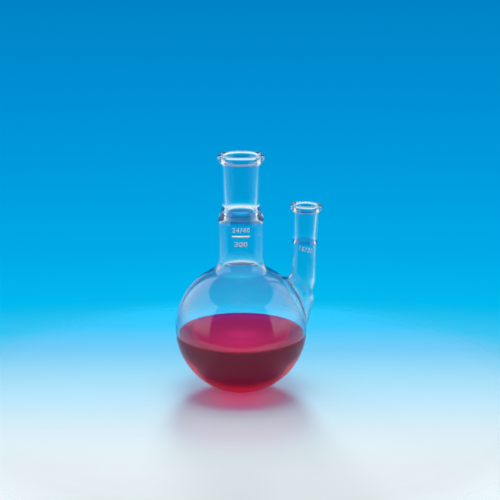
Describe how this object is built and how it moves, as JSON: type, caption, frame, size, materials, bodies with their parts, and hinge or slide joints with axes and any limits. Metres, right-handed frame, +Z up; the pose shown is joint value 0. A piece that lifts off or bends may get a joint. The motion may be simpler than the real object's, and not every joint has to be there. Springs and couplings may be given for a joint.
{
  "type": "two-neck round-bottom flask",
  "caption": "Clear blown-glass round-bottom flask with a wide upright ground-joint neck and a slim, slightly leaning side neck, holding a red solution.",
  "frame": {"origin": "lowest point of the bulb, on the common axis of the bulb and the main neck", "axes": "+Z up the main neck, +X from the main neck towards the side neck; the XZ plane is the mirror plane"},
  "size_m": [0.1041, 0.0944, 0.1732],
  "materials": {
    "clear_glass": "clear fire-polished borosilicate glass",
    "red_solution": "clear deep crimson liquid"
  },
  "bodies": {
    "root": {"flask": "clear_glass", "solution": "red_solution"}
  },
  "joints": []
}
